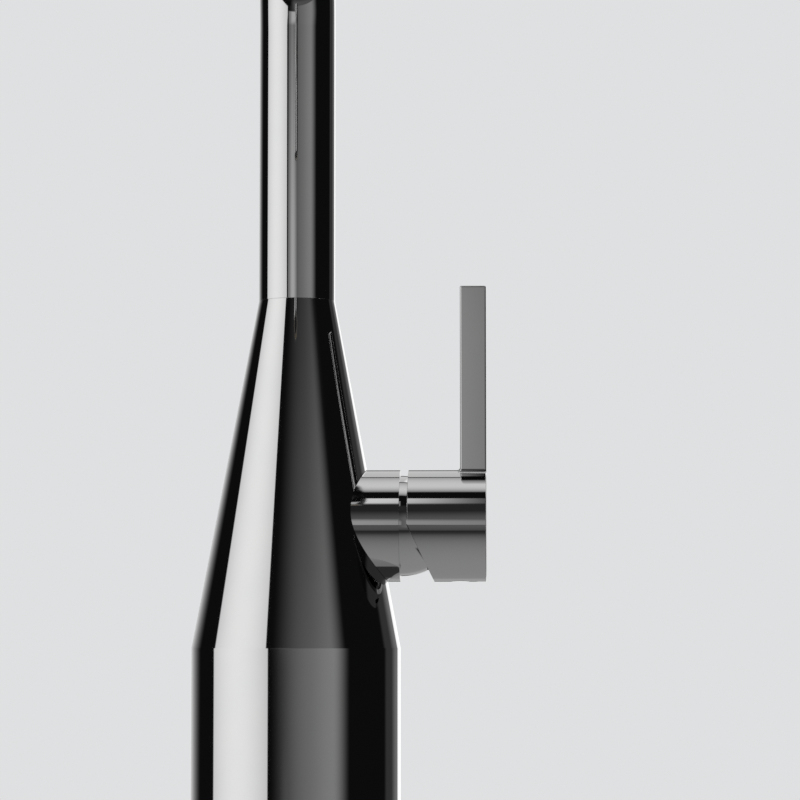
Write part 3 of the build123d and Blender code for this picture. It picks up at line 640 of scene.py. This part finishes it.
# The bar is a block with its long and top edges rounded, whose foot spreads in steps of a flat
# arc and follows the hub's round.
bpy.ops.object.select_all(action="DESELECT")
bar_low = lever_axis + hub_radius + foot_height
bpy.ops.mesh.primitive_cube_add(
    size=1, location=((bar_inner + hub_end) / 2 * mm, 0, (bar_low + bar_top) / 2 * mm)
)
bar = bpy.context.object
bpy.ops.transform.resize(
    value=((hub_end - bar_inner) * mm, 2 * bar_half_width * mm, (bar_top - bar_low) * mm)
)
bpy.ops.object.transform_apply(location=True, rotation=True, scale=True)


def pick(piece, kind, test):
    """Selects, in edit mode, the vertices, edges or faces whose points all pass a test."""
    bpy.ops.object.mode_set(mode="EDIT")
    bpy.ops.mesh.select_mode(type=kind)
    bpy.ops.mesh.select_all(action="DESELECT")
    bpy.ops.object.mode_set(mode="OBJECT")
    points = piece.data.vertices
    if kind == "VERT":
        for point in points:
            point.select = test(point.co / mm)
    else:
        for part in piece.data.edges if kind == "EDGE" else piece.data.polygons:
            part.select = test(*[points[i].co / mm for i in part.vertices])
    bpy.ops.object.mode_set(mode="EDIT")


# How near points lie to count as level, or as the same place
near, same = 0.01, 0.0006


def on_rim(a, b):
    """Whether an edge of the bar is one of its upright corners, or goes round its top."""
    at_side = abs(a.y) > bar_half_width - near
    round_top = min(a.z, b.z) > bar_top - near and (abs(a.x - b.x) < near or at_side)
    return round_top or (abs(a.z - b.z) > 1 and at_side)


pick(bar, "EDGE", lambda a, b: abs(a.x - b.x) + abs(a.z - b.z) < near)
bpy.ops.mesh.subdivide(number_cuts=11)
pick(bar, "EDGE", on_rim)
bpy.ops.mesh.bevel(offset=edge_radius * mm, segments=5, profile=0.5)
pick(bar, "FACE", lambda *points: max(p.z for p in points) < bar_low + near)
width, half_depth, drop = hub_end - bar_inner, bar_half_width, 0.0
foot_steps = 8
for step in range(1, foot_steps + 1):
    angle = pi / 2 * step / foot_steps
    next_drop = foot_height * sin(angle)
    bpy.ops.mesh.extrude_region_move(
        TRANSFORM_OT_translate={"value": (0, 0, (drop - next_drop) * mm)}
    )
    next_width = hub_end - bar_inner + foot_side * (1 - cos(angle))
    next_half = bar_half_width + foot_front * (1 - cos(angle))
    bpy.ops.transform.resize(
        value=(next_width / width, next_half / half_depth, 1),
        center_override=(hub_end * mm, 0, 0),
    )
    width, half_depth, drop = next_width, next_half, next_drop
bpy.ops.mesh.extrude_region_move(TRANSFORM_OT_translate={"value": (0, 0, -foot_stub * mm)})
bpy.ops.object.mode_set(mode="OBJECT")
foot_places = sorted(
    {round(abs(v.co.y) / mm, 3) for v in bar.data.vertices if v.co.z < (bar_low + near) * mm}
)
for place in foot_places:
    fall = hub_radius - (hub_radius ** 2 - place ** 2) ** 0.5 + foot_sink
    pick(bar, "VERT", lambda a: a.z < bar_low + near and abs(abs(a.y) - place) < same)
    bpy.ops.transform.translate(value=(0, 0, -fall * mm))
face_outwards(bar)

# The cut below the axis, at the angle that the handle tilts by, leaves room for the sleeve.
bpy.ops.object.select_all(action="DESELECT")
bpy.ops.mesh.primitive_cube_add(
    size=cut_size * mm,
    location=((pivot_x - cut_size / 2) * mm, 0, (lever_axis - cut_size / 2) * mm),
)
tilt_cut = bpy.context.object
bpy.ops.transform.rotate(
    value=radians(tilt), orient_axis="Y", center_override=(pivot_x * mm, 0, lever_axis * mm)
)
bpy.ops.object.transform_apply(location=True, rotation=True, scale=True)
face_outwards(handle)
cut_by(handle, tilt_cut)
cut_by(handle, bar, "UNION")
drill(
    handle,
    screw_hole_radius,
    (bar_inner, 0, screw_hole_bottom),
    (bar_inner, 0, screw_hole_top),
    sides=64,
)
finish(handle, polished, "lever", "handle", angle=30)

# Spout: one drawn brass tube, bent forward over the basin and down to the outlet, polished and
# chromed, with a wall of 1.5 mm that shows at the mouth.
bend_start, bend_radius = 254.0, 44.0
reach, outlet = 150.0, 238.0
tube_wall, tube_edge = 1.5, 0.03
tube_sides = 160
bend_steps = 56
up_rows, over_rows, down_rows = 8, 6, 2
spout_bottom = 175.03
bpy.ops.object.select_all(action="DESELECT")
bpy.ops.mesh.primitive_circle_add(
    vertices=tube_sides, radius=neck_radius * mm, location=(0, 0, spout_bottom * mm)
)
spout_tube = bpy.context.object
spout_tube.name = "spout_pipe"
bpy.ops.object.transform_apply(location=True, rotation=True, scale=True)
bpy.ops.object.mode_set(mode="EDIT")
bpy.ops.mesh.select_all(action="SELECT")


def draw_out(rows, y, z):
    """Draws the tube's open end along a straight run, in rows of equal length."""
    for _ in range(rows):
        bpy.ops.mesh.extrude_region_move(
            TRANSFORM_OT_translate={"value": (0, y / rows * mm, z / rows * mm)}
        )


def bend(y):
    """Bends the tube's open end a quarter turn forward, about a centre at this Y."""
    bpy.ops.mesh.spin(
        steps=bend_steps, angle=-pi / 2, center=(0, y * mm, bend_start * mm), axis=(1, 0, 0)
    )


draw_out(up_rows, 0, bend_start - spout_bottom)
bend(-bend_radius)
draw_out(over_rows, 2 * bend_radius - reach, 0)
bend(bend_radius - reach)
draw_out(down_rows, 0, outlet - bend_start)
face_outwards(spout_tube, merge_mm=0.001)
solid = spout_tube.modifiers.new("wall", "SOLIDIFY")
solid.thickness = tube_wall * mm
solid.offset = -1
bpy.ops.object.modifier_apply(modifier=solid.name)
ends = spout_tube.modifiers.new("ends", "BEVEL")
ends.limit_method = "ANGLE"
ends.angle_limit = radians(60)
ends.width = tube_edge * mm
ends.segments = 3
bpy.ops.object.modifier_apply(modifier=ends.name)
finish(spout_tube, polished, "spout", "spout_tube", angle=35)


# Shank: the threaded brass tube that passes through the deck. Its thread is cut two millimetres
# apart, with flat crests at the tube's full radius, and its ends are chamfered to start the nut.
def textured(name, low_colour, high_colour, rough, metallic, grain_mm, bump_um, stretch=(1, 1, 1)):
    """A material whose colour, gloss and surface vary with one noise of a real grain size."""
    material, tree = new_material(name)
    place = add(tree, "ShaderNodeTexCoord").outputs["Object"]
    place = add(tree, "ShaderNodeMapping", {"Vector": place, "Scale": stretch})
    grain = add(
        tree, "ShaderNodeTexNoise", {"Vector": place, "Scale": 1 / (grain_mm * mm), "Detail": 4.0}
    ).outputs["Fac"]
    tint = add(
        tree,
        "ShaderNodeMix",
        {"Factor": grain, "A": linear(low_colour), "B": linear(high_colour)},
        data_type="RGBA",
    )
    gloss = add(
        tree, "ShaderNodeMapRange", {"Value": grain, "To Min": rough[0], "To Max": rough[1]}
    )
    bump = add(
        tree, "ShaderNodeBump", {"Height": grain, "Strength": 0.4, "Distance": bump_um * mm / 1000}
    )
    shader = add(
        tree,
        "ShaderNodeBsdfPrincipled",
        {"Base Color": tint, "Roughness": gloss, "Normal": bump, "Metallic": metallic},
    )
    add(tree, "ShaderNodeOutputMaterial", {"Surface": shader})
    return material


def threaded(name, crest, depth, pitch, low, high, steps=72):
    """A rod along Z with an outside thread and chamfered ends: one turn's profile, screwed up."""
    root = crest - depth
    spare, over = 0.3 * pitch, crest + 0.3 * depth
    turns = int((high - low) / pitch) + 4
    bpy.ops.object.select_all(action="DESELECT")
    bpy.ops.mesh.primitive_plane_add(size=mm, location=(root * mm, 0, (low - 2 * pitch) * mm))
    rod = bpy.context.object
    rod.name = name
    bpy.ops.object.transform_apply(location=True, rotation=True, scale=True)
    bpy.ops.object.mode_set(mode="EDIT")
    bpy.ops.mesh.select_all(action="SELECT")
    bpy.ops.mesh.merge(type="CENTER")
    # The thread's root, flank, crest, flank and root, with heights as shares of the pitch
    for out, up in ((0, 0.15), (depth, 0.3), (0, 0.2), (-depth, 0.3), (0, 0.05)):
        bpy.ops.mesh.extrude_region_move(
            TRANSFORM_OT_translate={"value": (out * mm, 0, up * pitch * mm)}
        )
    bpy.ops.object.mode_set(mode="OBJECT")
    screw = rod.modifiers.new("thread", "SCREW")
    screw.axis = "Z"
    screw.angle = 2 * pi
    screw.steps = steps
    screw.render_steps = steps
    screw.screw_offset = pitch * mm
    screw.iterations = turns
    bpy.ops.object.modifier_apply(modifier=screw.name)
    bpy.ops.object.mode_set(mode="EDIT")
    bpy.ops.mesh.select_all(action="SELECT")
    bpy.ops.mesh.remove_doubles(threshold=0.001 * mm)
    for height, below in ((low - spare, True), (high + spare, False)):
        bpy.ops.mesh.select_all(action="SELECT")
        bpy.ops.mesh.bisect(
            plane_co=(0, 0, height * mm), plane_no=(0, 0, 1), use_fill=True,
            clear_inner=below, clear_outer=not below,
        )
    face_outwards(rod)
    envelope = turned(
        "envelope",
        [(root, low), (over, low + over - root), (over, high - over + root), (root, high)],
        segments=96,
        ring=False,
    )
    cut_by(rod, envelope, "INTERSECT")
    return rod


shank_low, shank_high = -60.0, 15.0
shank_radius, shank_bore = 16.0, 13.5
thread_pitch, thread_depth = 2.0, 0.9
past_end = 5.0
brass = textured(
    "turned brass", "#D2AC66", "#E2C17C", (0.24, 0.36), 1.0, 0.5, 12, (0.08, 0.08, 2)
)
shank = threaded("threaded_shank", shank_radius, thread_depth, thread_pitch, shank_low, shank_high)
drill(shank, shank_bore, (0, 0, shank_low - past_end), (0, 0, shank_high + past_end), sides=128)
finish(shank, brass, "root", "shank", angle=20)

# Fixing nut: a hexagonal brass backnut with chamfered corners, run up the shank under the deck.
# Two jack screws pass through it.
nut_low, nut_high = -45.0, -37.0
nut_corner, nut_chamfer_radius = 28.0, 24.6
nut_slope, nut_spare = tan(radians(30)), 1.5
screw_circle, jack_radius = 20.5, 2.5
fit = 0.03
bpy.ops.object.select_all(action="DESELECT")
bpy.ops.mesh.primitive_cylinder_add(
    vertices=6,
    radius=nut_corner * mm,
    depth=(nut_high - nut_low) * mm,
    location=(0, 0, (nut_low + nut_high) / 2 * mm),
    rotation=(0, 0, pi / 6),
)
nut = bpy.context.object
nut.name = "backnut"
bpy.ops.object.transform_apply(location=True, rotation=True, scale=True)
nut_reach = nut_corner + 1
nut_rise = (nut_reach - nut_chamfer_radius) * nut_slope
nut_tool = turned(
    "nut_tool",
    [
        (nut_chamfer_radius - nut_spare, nut_low - nut_spare * nut_slope),
        (nut_reach, nut_low + nut_rise),
        (nut_reach, nut_high - nut_rise),
        (nut_chamfer_radius - nut_spare, nut_high + nut_spare * nut_slope),
    ],
    ring=False,
)
cut_by(nut, nut_tool, "INTERSECT")
drill(nut, shank_radius + fit, (0, 0, nut_low - past_end), (0, 0, nut_high + past_end))
for side in (1, -1):
    drill(
        nut,
        jack_radius + fit,
        (0, side * screw_circle, nut_low - past_end),
        (0, side * screw_circle, nut_high + past_end),
        sides=48,
    )
finish(nut, brass, "root", "fixing_nut", angle=20)

# Jack screws: two stainless hexagon-socket screws through the nut, which press the steel washer
# against the deck. Their threads are cut 0.8 mm apart.
steel = textured("plain stainless steel", "#B4B5B4", "#C6C7C6", (0.25, 0.4), 1.0, 0.4, 15)
jack_low, jack_high = -52.0, -34.0
jack_pitch, jack_depth = 0.8, 0.42
hex_across, hex_depth = 2.5, 2.5
for number, side in enumerate((1, -1), start=1):
    screw = threaded(
        f"jack_screw_{number}", jack_radius, jack_depth, jack_pitch, jack_low, jack_high, steps=36
    )
    drill(
        screw,
        hex_across / 2 / cos(pi / 6),
        (0, 0, jack_low - past_end),
        (0, 0, jack_low + hex_depth),
        sides=6,
    )
    screw.location = (0, side * screw_circle * mm, 0)
    select_only(screw)
    bpy.ops.object.transform_apply(location=True, rotation=True, scale=True)
    finish(screw, steel, "root", "jack_screws", angle=20)

# Cartridge, waterways, seals, washer, aerator and small screws keep their CAD shapes, in brass as
# turned or in plain stainless. The seals are moulded rubber, the cartridge's frame and the jet
# insert moulded acetal, and its two discs lapped ceramic.
finishes = {
    "chrome": polished,
    "brass": brass,
    "stainless": steel,
    "rubber": textured("black moulded rubber", "#141414", "#222222", (0.55, 0.75), 0.0, 0.3, 30),
    "ceramic": textured("lapped ceramic", "#E9E7E1", "#F2F0EB", (0.12, 0.2), 0.0, 0.6, 5),
    "acetal": textured("black moulded acetal", "#1A1A1B", "#262627", (0.35, 0.5), 0.0, 0.8, 15),
}
replaced = {
    "body_shell", "base_ring", "cartridge_sleeve", "dome_collar", "handle", "spout_tube", "shank",
    "fixing_nut", "jack_screws",
}
for row in frame["record"]["subparts"]:
    if row["node"] in replaced:
        continue
    node = frame["nodes"][row["node"]]
    node.data.materials.clear()
    node.data.materials.append(finishes[row["material_slot"]])
